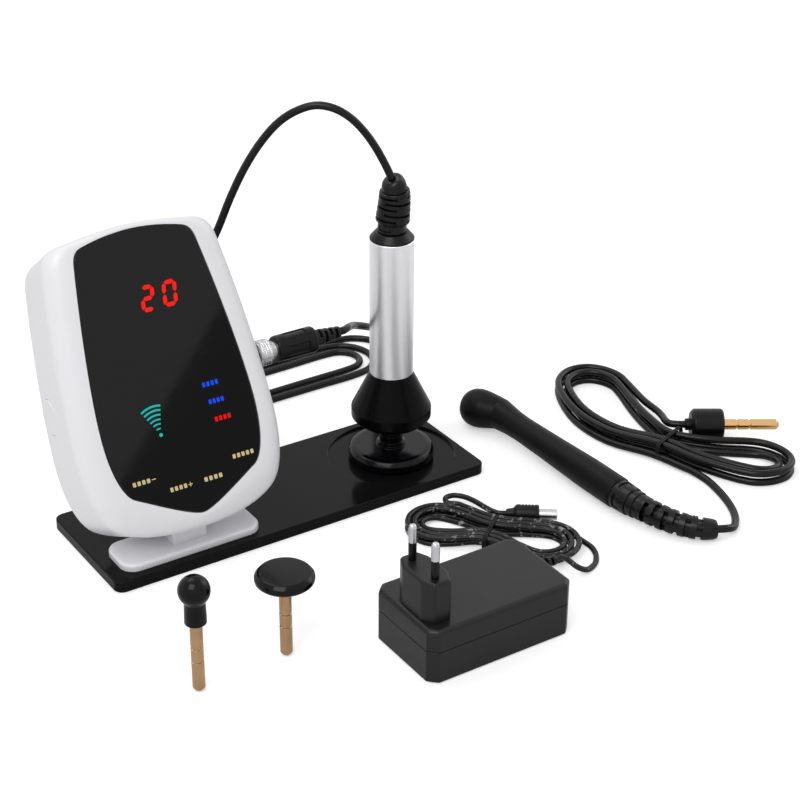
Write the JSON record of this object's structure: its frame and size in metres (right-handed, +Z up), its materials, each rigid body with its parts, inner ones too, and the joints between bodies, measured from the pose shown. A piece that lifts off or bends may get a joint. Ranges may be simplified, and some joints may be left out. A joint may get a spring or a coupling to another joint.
{
  "type": "facial toning device",
  "caption": "Facial toning device: tilting touch console on a tray, corded handpiece standing on its disc tip, loose tips, wand with hanked cord and mains adapter.",
  "frame": {"origin": "middle of the tray's underside, on the floor", "axes": "+X along the tray towards the handpiece, +Y from the console's face towards its back, +Z up"},
  "size_m": [0.3951, 0.3281, 0.2105],
  "materials": {
    "tray_gloss": "gloss",
    "white_shell": "satin",
    "steel": "plain",
    "glass_black": "high gloss",
    "board": "solder mask",
    "red_led": "diffusing",
    "light_guides": "clear",
    "ferrite": "taped winding",
    "chrome": "polished",
    "black_satin": "satin",
    "black_gloss": "high gloss",
    "brass": "turned",
    "core": "plain",
    "adapter_shell": "fine texture",
    "cord_rubber": "satin"
  },
  "bodies": {
    "stand": {"tray": "tray_gloss", "foot": "white_shell", "foot_screws": "steel", "ball_head": "black_gloss", "ball_pin": "brass", "medium_disc": "black_gloss", "medium_disc_pin": "brass", "wand_handle": "black_satin", "wand_head": "black_satin", "wand_boot": "cord_rubber", "jack_body": "black_satin", "jack_pin": "brass", "adapter_base": "adapter_shell", "adapter_top": "adapter_shell", "mains_pins": "chrome", "pin_sleeves": "black_satin", "adapter_board": "board", "adapter_transformer": "ferrite", "adapter_relief": "cord_rubber", "dc_plug_body": "black_satin", "dc_plug_barrel": "chrome", "handpiece_cord_hank": "cord_rubber", "handpiece_cord_riser": "cord_rubber", "wand_cord_lead": "cord_rubber", "wand_cord_hank": "cord_rubber", "wand_cord_tail": "cord_rubber", "wand_cord_tie": "cord_rubber", "adapter_cord_lead": "cord_rubber", "adapter_cord_hank": "cord_rubber", "adapter_cord_tail": "cord_rubber", "adapter_cord_tie": "cord_rubber"},
    "console": {"front_shell": "white_shell", "rear_cover": "white_shell", "touch_glass": "glass_black", "display_board": "board", "led_display": "red_led", "key_lights": "light_guides", "main_board": "board", "step_up_transformer": "ferrite", "dc_inlet": "black_satin", "board_screws": "steel", "cover_screws": "steel", "side_cap": "white_shell", "panel_socket": "chrome", "plug_barrel": "chrome", "plug_grip": "black_satin", "plug_boot": "cord_rubber", "hinge_pin": "steel", "friction_washers": "steel", "handpiece_cord_lead": "cord_rubber"},
    "coupling_nut": {"coupling_nut": "chrome"},
    "large_tip": {"large_disc": "black_gloss", "large_disc_pin": "brass"},
    "handpiece": {"handpiece_tube": "chrome", "handpiece_cone": "black_satin", "tip_socket": "brass", "insulating_core": "core", "end_collar": "black_satin", "handpiece_boot": "cord_rubber", "handpiece_cord_arch": "cord_rubber"}
  },
  "joints": [
    {"name": "console_tilt", "type": "hinge", "parent": "stand", "child": "console", "pos_m": [-0.0645, -0.021, 0.021], "axis": [1, 0, 0], "range_deg": [0, 18], "deforming": ["handpiece_cord_lead"]},
    {"name": "coupling_nut_turn", "type": "hinge", "parent": "console", "child": "coupling_nut", "pos_m": [-0.0645, 0.00001, 0.08869], "axis": [1, 0, 0], "continuous": true},
    {"name": "large_tip_lift", "type": "slide", "parent": "stand", "child": "large_tip", "axis": [0, 0, 1], "range_m": [0, 0.06], "deforming": ["handpiece_cord_riser"]},
    {"name": "handpiece_pull", "type": "slide", "parent": "large_tip", "child": "handpiece", "axis": [0, 0, 1], "range_m": [0, 0.04], "deforming": ["handpiece_cord_arch"]}
  ]
}
